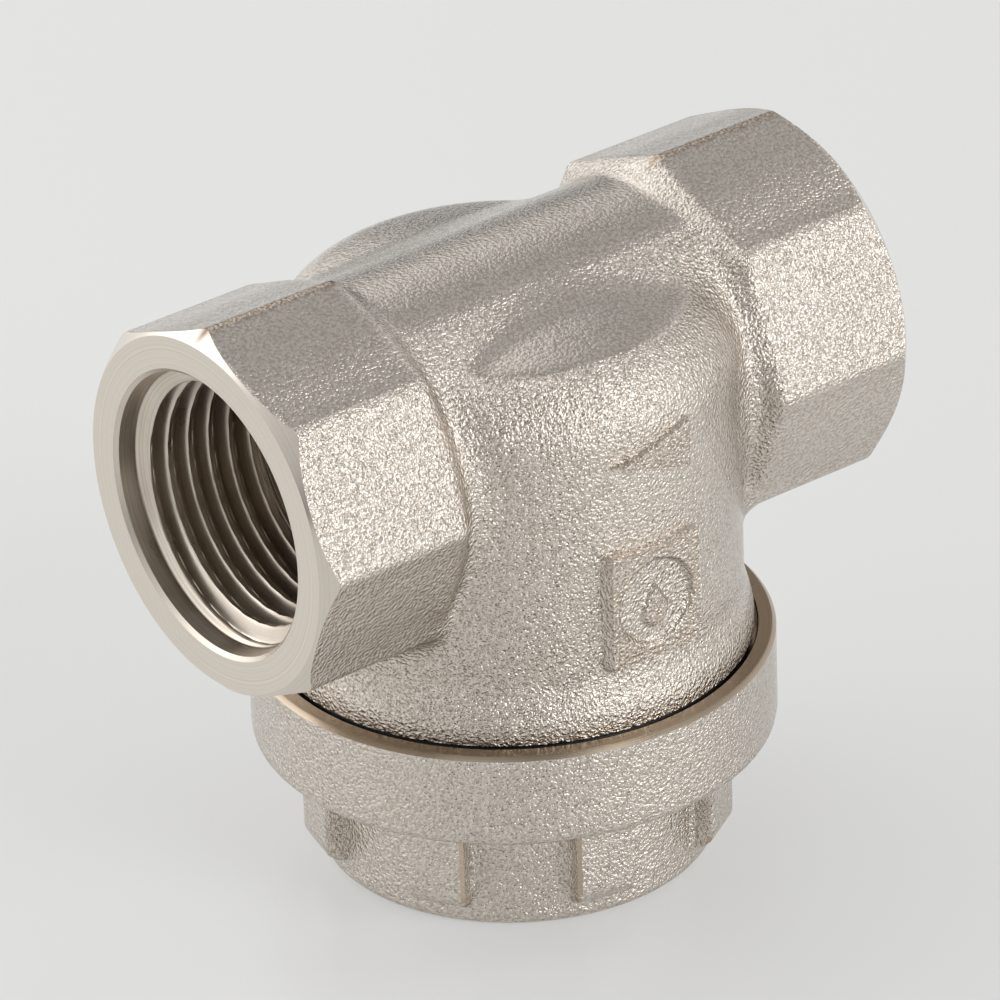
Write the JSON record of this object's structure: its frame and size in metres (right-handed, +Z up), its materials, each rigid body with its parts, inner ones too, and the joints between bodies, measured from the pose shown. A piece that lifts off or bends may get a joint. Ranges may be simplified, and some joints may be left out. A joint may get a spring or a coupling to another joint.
{
  "type": "in-line pipe strainer",
  "caption": "In-line pot strainer with two female threaded ports on one axis, a removable screen in the chamber below them and a lugged screw cap underneath.",
  "frame": {"origin": "centre of the cap's flat base, on the chamber's vertical axis", "axes": "+X along the pipe axis towards the inlet port, -Y towards the marked front, +Z up along the chamber axis"},
  "size_m": [0.054, 0.039, 0.0506],
  "materials": {
    "nickel_plated_brass": "shot-blasted hot forging with bright nickel plating, machined at the port faces, threads and cap rim",
    "seal_rubber": "moulded EPDM ring, matt black",
    "gasket_ptfe": "cut PTFE ring, off-white",
    "stainless_sheet": "pressed and perforated stainless sheet, satin",
    "stainless_mesh": "fine woven stainless wire cloth"
  },
  "bodies": {
    "body": {"valve_body": "nickel_plated_brass", "cap_seal_ring": "seal_rubber", "seat_gasket": "gasket_ptfe"},
    "screen": {"screen_support": "stainless_sheet", "screen_mesh": "stainless_mesh", "screen_lower_collar": "stainless_sheet", "screen_upper_collar": "stainless_sheet"},
    "cap": {"screw_cap": "nickel_plated_brass"}
  },
  "joints": [
    {"name": "cap_travel", "type": "slide", "parent": "body", "child": "screen", "axis": [0, 0, -1], "range_m": [0, 0.015]},
    {"name": "cap_turn", "type": "hinge", "parent": "screen", "child": "cap", "pos_m": [0, 0, 0.0135], "axis": [0, 0, -1], "range_deg": [0, 3600]}
  ],
  "couplings": [
    {"joint": "cap_travel", "follows": "cap_turn", "m_per_rad": 0.00023873}
  ]
}
